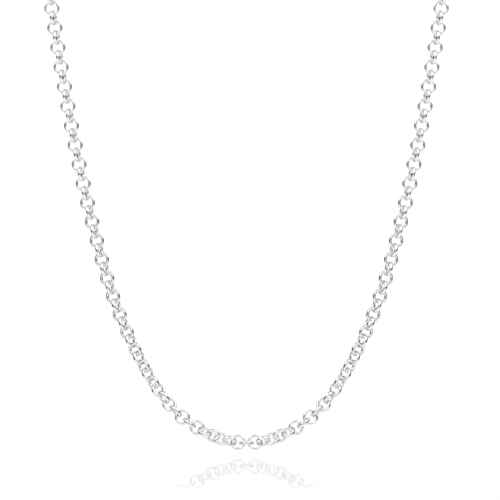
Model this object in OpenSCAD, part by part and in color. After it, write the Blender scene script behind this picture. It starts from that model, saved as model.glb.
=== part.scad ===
// Rolo chain necklace of round links of flattened wire, each set across the one before it
// The chain is a closed loop, hung up by the nape and clasped there
// +X is the wearer's left, the front faces -Y, +Z is up and the origin is the middle of the nape

/* [Chain link] */
// Outer diameter of a link
link_d = 4.1; // [3.7:0.1:4.8]
// Thickness of a link's flattened wire, from its inner face to its outer one
wire_t = 0.6; // [0.52:0.02:0.64]
// Width of the flattened wire, along the link's axis
wire_w = 0.94; // [0.8:0.02:0.98]
// Gap between the wires of two links that are drawn tight, and of the last link and its jump ring
link_gap = 0.2; // [0.18:0.01:0.24]
// Length that the slack links about the lowest one take up on each side
slack = 7.5; // [2:0.5:9]
// Number of links over which the slack fades
slack_links = 18; // [12:1:30]

/* [Loop] */
// Width of the loop beside the neck, between wire centres
loop_w = 112; // [96:1:130]
// Depth of the loop from its hanging front to the nape
loop_depth = 56.5; // [45:0.5:80]
// Height from the lowest link's centre to the nape
loop_drop = 157; // [130:1:180]

/* [Jump rings] */
// Outer diameter of a jump ring
ring_d = 4.2; // [4:0.1:4.6]
// Diameter of a jump ring's wire
ring_wire_d = 0.7; // [0.6:0.05:0.8]
// Gap between a jump ring's wire and the clasp that hangs in the ring
ring_gap = 0.12; // [0.11:0.01:0.16]

/* [Clasp] */
// Outer length of the clasp's hook loop
hook_l = 7.6; // [6.6:0.1:9]
// Outer width of the hook loop
hook_w = 5; // [4.8:0.1:6]
// Diameter of the hook loop's metal
hook_wire_d = 1.2; // [0.9:0.05:1.3]
// Thickness of the plate that fills the hook loop's heel
heel_t = 0.8; // [0.6:0.05:0.9]
// Outer diameter of the eye at the clasp's fixed end
eye_d = 3.2; // [3:0.1:3.8]
// Diameter of the eye's metal
eye_wire_d = 0.8; // [0.6:0.05:0.8]
// Width of the thumb lever's knob
knob_w = 1.6; // [1:0.1:2]

/* [Hidden] */

// Chosen points from the lowest link to the nape, for the half on +X
// Shares of half the width outwards, of the depth backwards and of the drop upwards
ROUTE = [
    [0, 0, 0],
    [0.186, 0, 0.016],
    [0.357, 0, 0.061],
    [0.505, 0, 0.139],
    [0.638, 0, 0.249],
    [0.741, 0, 0.380],
    [0.823, 0, 0.513],
    [0.891, 0, 0.648],
    [0.943, 0, 0.767],
    [0.990, 0.080, 0.868],
    [0.985, 0.340, 0.943],
    [0.825, 0.670, 0.982],
    [0.485, 0.905, 0.996],
    [0, 1, 1]
];
ROUTE_STEPS = 16;

// Turn of the chain about its own length, in degrees, by link number from the lowest
TURN = [
    [0, 0], [1, 0], [2, 36], [5, 62], [7, 86], [10, 113], [13, 127], [17, 138],
    [20, 152], [31, 160], [35, 172], [54, 178], [60, 180]
];
// Further turn of the even links alone
LEAN = [
    [0, 6], [2, 0], [4, 2], [8, 2], [10, 12], [13, 12], [16, 8], [18, 9], [20, 5],
    [31, 4], [35, -4], [41, -8], [48, -8], [54, -10], [66, 0]
];

RING_FACETS = 64;
WIRE_FACETS = 32;
SIDE = [1, 0, 0];
FRONT = [0, -1, 0];

function unit(v) = v / norm(v);
function flipped(v) = [-v.x, v.y, v.z];

// A smooth curve through four neighbouring points, at the share t from b to c
function between(a, b, c, d, t) =
    (2 * b + (c - a) * t + (2 * a - 5 * b + 4 * c - d) * pow(t, 2)
    + (3 * b - a - 3 * c + d) * pow(t, 3)) / 2;

stations = [
    for (p = ROUTE) [p.x * loop_w / 2, (p.y - 1) * loop_depth, (p.z - 1) * loop_drop]
];
last_station = len(stations) - 1;
knots = concat([flipped(stations[1])], stations, [flipped(stations[last_station - 1])]);
line = concat(
    [
        for (i = [1 : last_station], j = [0 : ROUTE_STEPS - 1])
            between(knots[i - 1], knots[i], knots[i + 1], knots[i + 2], j / ROUTE_STEPS)
    ],
    [stations[last_station]]
);
run = [
    for (
        i = 0, s = 0;
        i < len(line);
        i = i + 1, s = s + (i < len(line) ? norm(line[i] - line[i - 1]) : 0)
    ) s
];
half_length = run[len(run) - 1];
out_at = [for (i = [0 : len(line) - 1]) [run[i], line[i].x]];
back_at = [for (i = [0 : len(line) - 1]) [run[i], line[i].y]];
up_at = [for (i = [0 : len(line) - 1]) [run[i], line[i].z]];

// Point of the route at the length s from the lowest link
function point_at(s) =
    s < 0 ? flipped(point_at(-s)) : [lookup(s, out_at), lookup(s, back_at), lookup(s, up_at)];

// Distance between the centres of two rings of wire that hang taut in one another
function taut(d1, w1, d2, w2, gap) = (d1 + d2) / 2 - w1 - w2 - gap;

// The clasp lies along X between the jump rings
clasp_l = hook_l + eye_d - eye_wire_d;
eye_x = -clasp_l / 2 + eye_d / 2;
hook_x = clasp_l / 2 - hook_l / 2;
eye_reach = taut(eye_d, eye_wire_d, ring_d, ring_wire_d, ring_gap) - eye_x;
hook_reach = hook_x + taut(hook_l, hook_wire_d, ring_d, ring_wire_d, ring_gap);
clasp_shift = (eye_reach - hook_reach) / 2;
ring_x = (eye_reach + hook_reach) / 2;
back_half = [for (i = [last_station * ROUTE_STEPS / 2 : len(line) - 1]) [-line[i].x, run[i]]];
ring_s = lookup(-ring_x, back_half);

// Links on each side of the lowest one, an even number so that the last lies flat on the neck
taut_pitch = taut(link_d, wire_t, link_d, wire_t, link_gap);
last_s = ring_s - taut(link_d, wire_t, ring_d, ring_wire_d, link_gap);
links = 2 * ceil((last_s + slack) / taut_pitch / 2);
pitch = (last_s + slack * (1 - exp(-links / slack_links))) / links;

// Length from the lowest link's centre to the centre of link k, the jump ring being the last
function length_to(k) =
    k > links ? ring_s : pitch * k - slack * (1 - exp(-k / slack_links));
function heading(k) =
    unit(point_at(length_to(k) + pitch / 2) - point_at(length_to(k) - pitch / 2));
headings = [for (k = [0 : links + 1]) heading(k)];

// A sideways direction carried along the route without twisting, which faces the front below
function square_to(v, t) = unit(v - (v * t) * t);
faces = [
    for (
        k = 0, v = FRONT;
        k <= links + 1;
        k = k + 1, v = k <= links + 1 ? square_to(v, headings[k]) : v
    ) v
];

function turn_of(k) = -lookup(k, TURN) + (k % 2 == 0 ? 90 - lookup(k, LEAN) : 0);

// A round ring of wire in the XY plane
module wire_ring(d, w) {
    rotate_extrude($fn = RING_FACETS)
        translate([(d - w) / 2, 0])
            circle(d = w, $fn = WIRE_FACETS);
}

// A link: a ring in the XY plane whose wire is flat inside and outside and round at its edges
module link() {
    rotate_extrude($fn = RING_FACETS)
        translate([(link_d - wire_t) / 2, 0]) {
            for (edge = [-1, 1])
                translate([0, edge * (wire_w - wire_t) / 2])
                    circle(d = wire_t, $fn = WIRE_FACETS);
            square([wire_t, wire_w - wire_t], center = true);
        }
}

// Sets a child in the place, direction and turn of link k
module at_link(k) {
    t = headings[k];
    inner = cross(faces[k], t);
    u = cos(turn_of(k)) * inner + sin(turn_of(k)) * faces[k];
    w = cross(t, u);
    p = point_at(length_to(k));
    multmatrix([
        [t.x, u.x, w.x, p.x],
        [t.y, u.y, w.y, p.y],
        [t.z, u.z, w.z, p.z],
        [0, 0, 0, 1]
    ])
        children();
}

module strand(first) {
    for (k = [first : links])
        at_link(k)
            link();
}

// The strand on the wearer's right, which the lowest link doesn't belong to
module chain_right() {
    color("silver")
        mirror(SIDE)
            strand(1);
}

// The strand on the wearer's left with the lowest link
module chain_left() {
    color("silver")
        strand(0);
}

// The jump ring that joins the clasp's eye to the chain
module clasp_ring() {
    color("silver")
        mirror(SIDE)
            at_link(links + 1)
                wire_ring(ring_d, ring_wire_d);
}

// The jump ring that the hook catches
module end_ring() {
    color("silver")
        at_link(links + 1)
            wire_ring(ring_d, ring_wire_d);
}

// A closed clasp in one piece: a hook loop with a solid heel, an eye and the thumb lever's knob
module clasp() {
    bend_r = (hook_w - hook_wire_d) / 2;
    straight = hook_l - hook_w;
    seat = point_at(ring_s);
    color("silver")
        translate([clasp_shift, seat.y, seat.z])
            rotate([90, 0, 0]) {
                translate([eye_x, 0, 0])
                    wire_ring(eye_d, eye_wire_d);
                translate([hook_x, 0, 0]) {
                    for (end = [-1, 1])
                        translate([end * straight / 2, 0, 0])
                            rotate([0, 0, -end * 90])
                                rotate_extrude(angle = 180, $fn = RING_FACETS)
                                    translate([bend_r, 0])
                                        circle(d = hook_wire_d, $fn = WIRE_FACETS);
                    for (side = [-1, 1])
                        translate([-straight / 2, side * bend_r, 0])
                            rotate([0, 90, 0])
                                cylinder(d = hook_wire_d, h = straight, $fn = WIRE_FACETS);
                    translate([-straight / 2, 0, -heel_t / 2])
                        cylinder(r = bend_r, h = heel_t, $fn = RING_FACETS);
                    translate([-straight / 2, -bend_r - hook_wire_d / 2, 0])
                        sphere(d = knob_w, $fn = WIRE_FACETS);
                }
            }
}

chain_left();
chain_right();
clasp_ring();
end_ring();
clasp();
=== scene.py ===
import math
import random

import bpy
import numpy as np
from mathutils import Matrix, Vector


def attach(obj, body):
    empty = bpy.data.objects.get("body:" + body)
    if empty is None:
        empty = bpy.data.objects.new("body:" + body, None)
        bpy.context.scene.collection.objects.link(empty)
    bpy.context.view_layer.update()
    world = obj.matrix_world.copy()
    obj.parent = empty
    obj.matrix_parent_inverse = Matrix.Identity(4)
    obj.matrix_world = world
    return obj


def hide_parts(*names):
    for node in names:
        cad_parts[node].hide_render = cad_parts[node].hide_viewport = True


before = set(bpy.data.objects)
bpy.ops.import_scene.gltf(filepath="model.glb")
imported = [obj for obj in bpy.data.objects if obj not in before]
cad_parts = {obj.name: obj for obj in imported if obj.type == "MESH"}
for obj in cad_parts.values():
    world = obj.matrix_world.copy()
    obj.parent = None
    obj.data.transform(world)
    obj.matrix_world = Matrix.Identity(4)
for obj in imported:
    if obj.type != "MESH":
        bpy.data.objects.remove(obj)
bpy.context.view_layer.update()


# A link of the chain: flattened wire wound on a rod, cut into rings, each closed round its
# neighbours and soldered. The joint is a fine seam on the ring's side, and the two places where
# the neighbours hang are rubbed a little hollow.
LINK_D = 0.0041
# Thickness at the crest of the wire's faces, which are a little domed: 0.6 mm on the whole
WIRE_T = 0.00064
WIRE_W = 0.00094
LINK_SEAM_HALF = 0.00005
LINK_SEAM_DEPTH = 0.000014
RUBBED = 0.000012


def polished_silver():
    """Silver that was drawn or cast and then tumbled to a bright polish.

    Close up it has fine hairlines and a faint unevenness from the tumbling, and it is a little
    duller where a ring was soldered shut.
    """
    silver = bpy.data.materials.new("polished_silver")
    silver.use_nodes = True
    nodes = silver.node_tree.nodes
    links = silver.node_tree.links
    shader = nodes["Principled BSDF"]
    shader.inputs["Metallic"].default_value = 1.0
    shader.inputs["IOR"].default_value = 1.45
    place = nodes.new("ShaderNodeTexCoord")

    cloud = nodes.new("ShaderNodeTexNoise")
    cloud.inputs["Scale"].default_value = 900
    cloud.inputs["Detail"].default_value = 3
    links.new(place.outputs["Object"], cloud.inputs["Vector"])
    tone = nodes.new("ShaderNodeValToRGB")
    tone.color_ramp.elements[0].position = 0.35
    tone.color_ramp.elements[0].color = (0.90, 0.90, 0.90, 1)
    tone.color_ramp.elements[1].position = 0.65
    tone.color_ramp.elements[1].color = (0.97, 0.97, 0.965, 1)
    links.new(cloud.outputs["Fac"], tone.inputs["Fac"])

    joint = nodes.new("ShaderNodeAttribute")
    joint.attribute_name = "solder"
    solder = nodes.new("ShaderNodeMix")
    solder.data_type = "RGBA"
    solder.inputs["B"].default_value = (0.80, 0.80, 0.78, 1)
    links.new(joint.outputs["Fac"], solder.inputs["Factor"])
    links.new(tone.outputs["Color"], solder.inputs["A"])
    links.new(solder.outputs["Result"], shader.inputs["Base Color"])

    gloss = nodes.new("ShaderNodeMapRange")
    gloss.inputs["From Min"].default_value = 0.3
    gloss.inputs["From Max"].default_value = 0.7
    gloss.inputs["To Min"].default_value = 0.025
    gloss.inputs["To Max"].default_value = 0.06
    links.new(cloud.outputs["Fac"], gloss.inputs["Value"])
    dull = nodes.new("ShaderNodeMath")
    dull.operation = "MULTIPLY_ADD"
    dull.inputs[1].default_value = 0.12
    links.new(joint.outputs["Fac"], dull.inputs[0])
    links.new(gloss.outputs["Result"], dull.inputs[2])
    links.new(dull.outputs["Value"], shader.inputs["Roughness"])

    hairline = nodes.new("ShaderNodeTexNoise")
    hairline.inputs["Scale"].default_value = 9000
    hairline.inputs["Detail"].default_value = 2
    hairline.inputs["Distortion"].default_value = 1.5
    links.new(place.outputs["Object"], hairline.inputs["Vector"])
    relief = nodes.new("ShaderNodeBump")
    relief.inputs["Strength"].default_value = 0.04
    relief.inputs["Distance"].default_value = 0.00002
    links.new(hairline.outputs["Fac"], relief.inputs["Height"])
    links.new(relief.outputs["Normal"], shader.inputs["Normal"])
    return silver


def select_where(test):
    """Selects the vertices of the active mesh whose place passes the test."""
    bpy.ops.object.mode_set(mode="EDIT")
    bpy.ops.mesh.select_mode(type="VERT")
    bpy.ops.mesh.select_all(action="DESELECT")
    bpy.ops.object.mode_set(mode="OBJECT")
    for v in bpy.context.object.data.vertices:
        v.select = test(v.co)
    bpy.ops.object.mode_set(mode="EDIT")


def closed_ring(name, outer, wire, around, about, seam, depth):
    """A ring of wire in the XY plane, whose cut ends meet in a seam on +Y.

    The mesh has so many steps around the hole and about the wire. The seam is half its width.
    """
    bpy.ops.object.select_all(action="DESELECT")
    bpy.ops.mesh.primitive_torus_add(
        major_segments=around, minor_segments=about,
        major_radius=(outer - wire) / 2, minor_radius=wire / 2)
    ring = bpy.context.object
    ring.name = name
    ring.data.name = name
    for side in (-1, 0, 1):
        select_where(lambda p: p.y > outer / 3)
        bpy.ops.mesh.bisect(plane_co=(side * seam, 0, 0), plane_no=(1, 0, 0))
    select_where(lambda p: p.y > 0 and abs(p.x) < seam / 2)
    bpy.ops.transform.shrink_fatten(value=-depth)
    bpy.ops.object.mode_set(mode="OBJECT")
    solder = ring.data.attributes.new("solder", "FLOAT", "POINT")
    for v in ring.data.vertices:
        solder.data[v.index].value = float(v.co.y > 0 and abs(v.co.x) < seam / 2)
    return ring


link = closed_ring("link", LINK_D, WIRE_T, around=40, about=12, seam=LINK_SEAM_HALF,
                   depth=LINK_SEAM_DEPTH)
beside_crest = WIRE_T * 0.1
for face in (-1, 1):
    select_where(lambda p: face * p.z > beside_crest)
    bpy.ops.transform.translate(value=(0, 0, face * (WIRE_W - WIRE_T) / 2))
    bpy.ops.object.mode_set(mode="OBJECT")
hole = LINK_D / 2 - WIRE_T
inner_face = hole + WIRE_T * 0.2
for end in (-1, 1):
    select_where(lambda p: end * p.x > 0 and abs(p.y) < hole / 3
                 and math.hypot(p.x, p.y) < inner_face)
    bpy.ops.transform.translate(value=(end * RUBBED, 0, 0))
    bpy.ops.object.mode_set(mode="OBJECT")
silver = polished_silver()
link.data.materials.append(silver)


# The two strands: each link is set across the one before it and hangs in it. They share the
# lowest link, which belongs to the strand on the wearer's left.
def rings_of(node):
    """The centre and the plane's normal of each ring of a CAD node, in the order of the chain."""
    bpy.ops.object.select_all(action="DESELECT")
    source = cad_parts[node]
    whole = source.copy()
    whole.data = source.data.copy()
    bpy.context.scene.collection.objects.link(whole)
    whole.parent = None
    bpy.context.view_layer.objects.active = whole
    whole.select_set(True)
    bpy.ops.object.mode_set(mode="EDIT")
    bpy.ops.mesh.select_all(action="SELECT")
    bpy.ops.mesh.remove_doubles(threshold=1e-6)
    bpy.ops.mesh.separate(type="LOOSE")
    bpy.ops.object.mode_set(mode="OBJECT")
    found = []
    for piece in list(bpy.context.selected_objects):
        points = np.empty(len(piece.data.vertices) * 3)
        piece.data.vertices.foreach_get("co", points)
        points = points.reshape(-1, 3)
        centre = points.mean(0)
        normal = np.linalg.svd(points - centre, full_matrices=False)[2][2]
        found.append((centre, normal))
        bpy.data.objects.remove(piece)
    here = min(range(len(found)), key=lambda i: found[i][0][2])
    order = [found.pop(here)]
    while found:
        near = min(range(len(found)), key=lambda i: np.linalg.norm(found[i][0] - order[-1][0]))
        order.append(found.pop(near))
    return order


def set_at(ring, centre, normal, along, side):
    """Moves a ring's mesh to a centre, with its axis on the normal and its X along the chain."""
    z = Vector(normal)
    x = Vector(along)
    x = (x - x.dot(z) * z).normalized()
    turned = Matrix((x, side * z.cross(x), side * z)).transposed().to_4x4()
    ring.data.transform(Matrix.Translation(centre) @ turned)


def put_in_place(piece, name, node):
    """Names a finished piece, which takes the place of a CAD node."""
    piece.name = name
    piece.data.name = name
    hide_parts(node)
    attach(piece, "root")


chance = random.Random(4)
for node in ("chain_left", "chain_right"):
    rings = rings_of(node)
    centres = [centre for centre, normal in rings]
    last = len(rings) - 1
    copies = []
    for i, (centre, normal) in enumerate(rings):
        placed = link.copy()
        placed.data = link.data.copy()
        ahead = centres[min(i + 1, last)] - centres[max(i - 1, 0)]
        set_at(placed, centre, normal, ahead, chance.choice((-1, 1)))
        bpy.context.scene.collection.objects.link(placed)
        copies.append(placed)
    bpy.ops.object.select_all(action="DESELECT")
    for placed in copies:
        placed.select_set(True)
    bpy.context.view_layer.objects.active = copies[0]
    bpy.ops.object.join()
    bpy.ops.object.shade_smooth()
    put_in_place(bpy.context.object, node.replace("chain", "strand"), node)
bpy.data.objects.remove(link)

# The two jump rings that join the chain to its clasp: heavier rings of round wire, bent shut
# with pliers. Their cut ends butt together in an open seam and aren't soldered.
JUMP_D = 0.0042
JUMP_WIRE = 0.0007
JUMP_SEAM_HALF = 0.00002
JUMP_SEAM_DEPTH = 0.00004
for node, name in (("clasp_ring", "jump_ring_at_clasp"), ("end_ring", "jump_ring_at_hook")):
    (centre, normal), = rings_of(node)
    jump = closed_ring(name, JUMP_D, JUMP_WIRE, around=64, about=16, seam=JUMP_SEAM_HALF,
                       depth=JUMP_SEAM_DEPTH)
    set_at(jump, centre, normal, (1, 0, 0), 1)
    jump.data.materials.append(silver)
    bpy.ops.object.shade_smooth()
    put_in_place(jump, name, node)

# The clasp: a lobster clasp, cast with its eye in one piece and tumbled bright. The thumb lever
# turns on a rivet through the heel and closes the mouth, which shows as fine seams.
EYE_D = 0.0032
EYE_WIRE = 0.0008
HOOK_L = 0.0076
HOOK_W = 0.005
HOOK_WIRE = 0.0012
HEEL_T = 0.0008
KNOB_W = 0.0016
RIVET_D = 0.001
RIVET_PROUD = 0.00015
GROOVE = 0.00005
GROOVE_AWAY = 0.00003
SLIT = 0.00006
# Thickness of the hook's tip and of the knob, as shares of their widths
TIP = 0.8
KNOB = 0.7
# Turn of the slit at the mouth, and the place on the heel's arc where the lever ends
MOUTH = -25
LEVER_END = 235
VOXEL = 0.00006
# The least distance from the middle plane that counts as beside it
OFF_MIDDLE = 0.00001
seat = [Vector(corner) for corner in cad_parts["clasp"].bound_box]
low = Vector([min(corner[i] for corner in seat) for i in range(3)])
high = Vector([max(corner[i] for corner in seat) for i in range(3)])
bend = (HOOK_W - HOOK_WIRE) / 2
half = (HOOK_L - HOOK_W) / 2
eye_x = EYE_D / 2
hook_x = high.x - low.x - HOOK_L / 2
heel_x = hook_x - half
parts = []
bpy.ops.object.select_all(action="DESELECT")
bpy.ops.mesh.primitive_torus_add(
    major_segments=48, minor_segments=16, major_radius=(EYE_D - EYE_WIRE) / 2,
    minor_radius=EYE_WIRE / 2, location=(eye_x, 0, 0))
parts.append(bpy.context.object)
bpy.ops.object.select_all(action="DESELECT")
bpy.ops.mesh.primitive_torus_add(
    major_segments=64, minor_segments=20, major_radius=bend, minor_radius=HOOK_WIRE / 2)
loop = bpy.context.object
for end in (-1, 1):
    select_where(lambda p: end * p.x > OFF_MIDDLE)
    bpy.ops.transform.translate(value=(end * half, 0, 0))
    bpy.ops.object.mode_set(mode="OBJECT")
select_where(lambda p: p.x > half)
bpy.ops.transform.resize(value=(1, 1, TIP))
bpy.ops.object.mode_set(mode="OBJECT")
loop.location.x = hook_x
parts.append(loop)
bpy.ops.object.select_all(action="DESELECT")
bpy.ops.mesh.primitive_cylinder_add(
    vertices=64, radius=bend, depth=HEEL_T, location=(heel_x, 0, 0))
parts.append(bpy.context.object)
bpy.ops.object.select_all(action="DESELECT")
bpy.ops.mesh.primitive_cylinder_add(
    vertices=48, radius=RIVET_D / 2, depth=HEEL_T + 2 * RIVET_PROUD, location=(heel_x, 0, 0))
parts.append(bpy.context.object)
bpy.ops.object.select_all(action="DESELECT")
bpy.ops.mesh.primitive_uv_sphere_add(
    segments=32, ring_count=16, radius=KNOB_W / 2, location=(heel_x, -bend - HOOK_WIRE / 2, 0))
knob = bpy.context.object
bpy.ops.transform.resize(value=(1, 1, KNOB))
parts.append(knob)
bpy.ops.object.select_all(action="DESELECT")
for part in parts:
    part.select_set(True)
bpy.context.view_layer.objects.active = loop
bpy.ops.object.join()
bpy.ops.object.transform_apply(location=True, rotation=True, scale=True)
clasp = bpy.context.object


def shaped(piece, kind, **settings):
    """Applies a modifier of this kind with these settings."""
    bpy.ops.object.select_all(action="DESELECT")
    piece.select_set(True)
    bpy.context.view_layer.objects.active = piece
    change = piece.modifiers.new(kind.lower(), kind)
    for key, value in settings.items():
        setattr(change, key, value)
    bpy.ops.object.modifier_apply(modifier=change.name)


shaped(clasp, "REMESH", mode="VOXEL", voxel_size=VOXEL)
shaped(clasp, "SMOOTH", factor=0.6, iterations=8)
bpy.ops.object.mode_set(mode="EDIT")
bpy.ops.mesh.select_all(action="SELECT")
bpy.ops.mesh.poke()
bpy.ops.object.mode_set(mode="OBJECT")
shaped(clasp, "DECIMATE", ratio=0.2)
cutters = []
lever_end = math.radians(LEVER_END)
reach = HOOK_WIRE * 1.3
for x, y, turn in (
        (hook_x + half * 0.9, -bend, MOUTH),
        (heel_x + bend * math.cos(lever_end), bend * math.sin(lever_end), LEVER_END - 90)):
    bpy.ops.object.select_all(action="DESELECT")
    bpy.ops.mesh.primitive_cube_add(size=1, location=(x, y, 0))
    slit = bpy.context.object
    slit.scale = (SLIT, reach, reach)
    slit.rotation_euler.z = math.radians(turn)
    cutters.append(slit)
for side in (-1, 1):
    bpy.ops.object.select_all(action="DESELECT")
    bpy.ops.mesh.primitive_torus_add(
        major_segments=48, minor_segments=8, major_radius=RIVET_D / 2 + GROOVE_AWAY,
        minor_radius=GROOVE, location=(heel_x, 0, side * HEEL_T / 2))
    cutters.append(bpy.context.object)
bpy.ops.object.select_all(action="DESELECT")
for cutter in cutters:
    cutter.select_set(True)
bpy.context.view_layer.objects.active = slit
bpy.ops.object.join()
bpy.ops.object.transform_apply(location=True, rotation=True, scale=True)
seams = bpy.context.object
shaped(clasp, "BOOLEAN", operation="DIFFERENCE", object=seams, solver="EXACT")
bpy.data.objects.remove(seams)
clasp.data.transform(
    Matrix.Translation((low.x, (low.y + high.y) / 2, high.z - HOOK_W / 2))
    @ Matrix.Rotation(math.pi / 2, 4, "X"))
clasp.data.materials.clear()
clasp.data.materials.append(silver)
bpy.ops.object.shade_smooth_by_angle(angle=math.radians(40))
put_in_place(clasp, "lobster_clasp", "clasp")


# The floor under the hanging chain: a white gloss sheet, lit from below as for a catalogue,
# that mirrors the lowest links faintly.
FLOOR_Z = -0.1601
FRONT_Y = -0.0565
# Share of what it mirrors right under the chain and near the edge of that patch, and where the
# edge begins and ends, in metres in front of the chain and behind it
MIRROR = 0.35
MIRROR_AT_EDGE = 0.32
EDGE = 0.105
MIRROR_END = 0.116
bpy.ops.object.select_all(action="DESELECT")
bpy.ops.mesh.primitive_plane_add(size=8, location=(0, 0, FLOOR_Z))
floor = bpy.context.object
floor.name = "floor"
floor.visible_glossy = False
sheet = bpy.data.materials.new("white_gloss_sheet")
sheet.use_nodes = True
nodes = sheet.node_tree.nodes
links = sheet.node_tree.links
nodes.remove(nodes["Principled BSDF"])
lit = nodes.new("ShaderNodeEmission")
lit.inputs["Strength"].default_value = 1.0
mirror = nodes.new("ShaderNodeBsdfGlossy")
mirror.inputs["Color"].default_value = (1, 1, 1, 1)
mirror.inputs["Roughness"].default_value = 0
place = nodes.new("ShaderNodeTexCoord")
axes = nodes.new("ShaderNodeSeparateXYZ")
links.new(place.outputs["Object"], axes.inputs["Vector"])
forward = nodes.new("ShaderNodeMath")
forward.operation = "ADD"
forward.inputs[1].default_value = -FRONT_Y
links.new(axes.outputs["Y"], forward.inputs[0])
away = nodes.new("ShaderNodeMath")
away.operation = "ABSOLUTE"
links.new(forward.outputs["Value"], away.inputs[0])
fade = nodes.new("ShaderNodeValToRGB")
fade.color_ramp.elements[0].position = 0
fade.color_ramp.elements[0].color = (MIRROR, MIRROR, MIRROR, 1)
fade.color_ramp.elements[1].position = MIRROR_END
fade.color_ramp.elements[1].color = (0, 0, 0, 1)
edge = fade.color_ramp.elements.new(EDGE)
edge.color = (MIRROR_AT_EDGE, MIRROR_AT_EDGE, MIRROR_AT_EDGE, 1)
links.new(away.outputs["Value"], fade.inputs["Fac"])
blend = nodes.new("ShaderNodeMixShader")
links.new(fade.outputs["Color"], blend.inputs["Fac"])
links.new(lit.outputs["Emission"], blend.inputs[1])
links.new(mirror.outputs["BSDF"], blend.inputs[2])
links.new(blend.outputs["Shader"], nodes["Material Output"].inputs["Surface"])
floor.data.materials.append(sheet)

# The light: a tent of white panels in rings about the line from the camera through the chain,
# alike on the left and the right, which run into one another. The panels level with the chain
# are kept nearly dark, which draws its outlines, and the backdrop is plain white.
BEHIND = 0.8
BY_CAMERA = 0.25
# The angle of each ring from straight behind, and its panels' strengths from the one overhead,
# round the side, to the one below
RINGS = [
    (35, (0.7, 0.75, 0.4, 0.55, 0.7)),
    (70, (0.1, 0.45, 0, 0.9, 0.7)),
    (105, (1.15, 1.65, 0.05, 0.95, 1.05)),
    (145, (0.4, 1.55, 0.15, 0.9, 0.95))]
SHARPNESS = 22.0
BACKDROP = 1.05
panels = [((0, 1, 0), BEHIND), ((0, -1, 0), BY_CAMERA)]
for angle, strengths in RINGS:
    out = math.sin(math.radians(angle))
    back = math.cos(math.radians(angle))
    for i, strength in enumerate(strengths):
        turn = math.pi * i / (len(strengths) - 1)
        panels.append(((out * math.sin(turn), back, out * math.cos(turn)), strength))
world = bpy.data.worlds.new("light_tent")
bpy.context.scene.world = world
world.use_nodes = True
nodes = world.node_tree.nodes
links = world.node_tree.links
place = nodes.new("ShaderNodeTexCoord")
fold = nodes.new("ShaderNodeVectorMath")
fold.operation = "ABSOLUTE"
links.new(place.outputs["Generated"], fold.inputs[0])
axes = nodes.new("ShaderNodeSeparateXYZ")
links.new(place.outputs["Generated"], axes.inputs["Vector"])
folded = nodes.new("ShaderNodeSeparateXYZ")
links.new(fold.outputs["Vector"], folded.inputs["Vector"])
way = nodes.new("ShaderNodeCombineXYZ")
links.new(folded.outputs["X"], way.inputs["X"])
links.new(axes.outputs["Y"], way.inputs["Y"])
links.new(axes.outputs["Z"], way.inputs["Z"])


def joined(kind, first, second):
    """A maths node on two outputs, or on an output and a number."""
    node = nodes.new("ShaderNodeMath")
    node.operation = kind
    links.new(first, node.inputs[0])
    if isinstance(second, float):
        node.inputs[1].default_value = second
    else:
        links.new(second, node.inputs[1])
    return node.outputs["Value"]


share = None
total = None
for panel, strength in panels:
    toward = nodes.new("ShaderNodeVectorMath")
    toward.operation = "DOT_PRODUCT"
    toward.inputs[1].default_value = panel
    links.new(way.outputs["Vector"], toward.inputs[0])
    spread = joined("POWER", joined("MAXIMUM", toward.outputs["Value"], 0.0), SHARPNESS)
    bright = joined("MULTIPLY", spread, float(strength))
    share = joined("ADD", share, spread) if share else spread
    total = joined("ADD", total, bright) if total else bright
tent = nodes["Background"]
tent.inputs["Color"].default_value = (1, 1, 1, 1)
links.new(joined("DIVIDE", total, share), tent.inputs["Strength"])
shown = nodes.new("ShaderNodeBackground")
shown.inputs["Color"].default_value = (1, 1, 1, 1)
shown.inputs["Strength"].default_value = BACKDROP
ray = nodes.new("ShaderNodeLightPath")
plain = joined("MAXIMUM", ray.outputs["Is Camera Ray"], ray.outputs["Is Singular Ray"])
either = nodes.new("ShaderNodeMixShader")
links.new(plain, either.inputs["Fac"])
links.new(tent.outputs["Background"], either.inputs[1])
links.new(shown.outputs["Background"], either.inputs[2])
links.new(either.outputs["Shader"], nodes["World Output"].inputs["Surface"])
bpy.context.scene.view_settings.view_transform = "Standard"

# The camera: a long lens, square to the hanging front and level with its middle. The field is
# the width of the picture where the front hangs.
FIELD = 0.13425
DISTANCE = 0.8
CAMERA_X = 0.00094
CAMERA_Z = -0.1052
lens = bpy.data.cameras.new("camera")
lens.sensor_width = 36
lens.lens = lens.sensor_width * DISTANCE / FIELD
lens.clip_start = 0.01
camera = bpy.data.objects.new("camera", lens)
camera.location = (CAMERA_X, FRONT_Y - DISTANCE, CAMERA_Z)
camera.rotation_euler = (math.pi / 2, 0, 0)
bpy.context.scene.collection.objects.link(camera)
bpy.context.scene.camera = camera
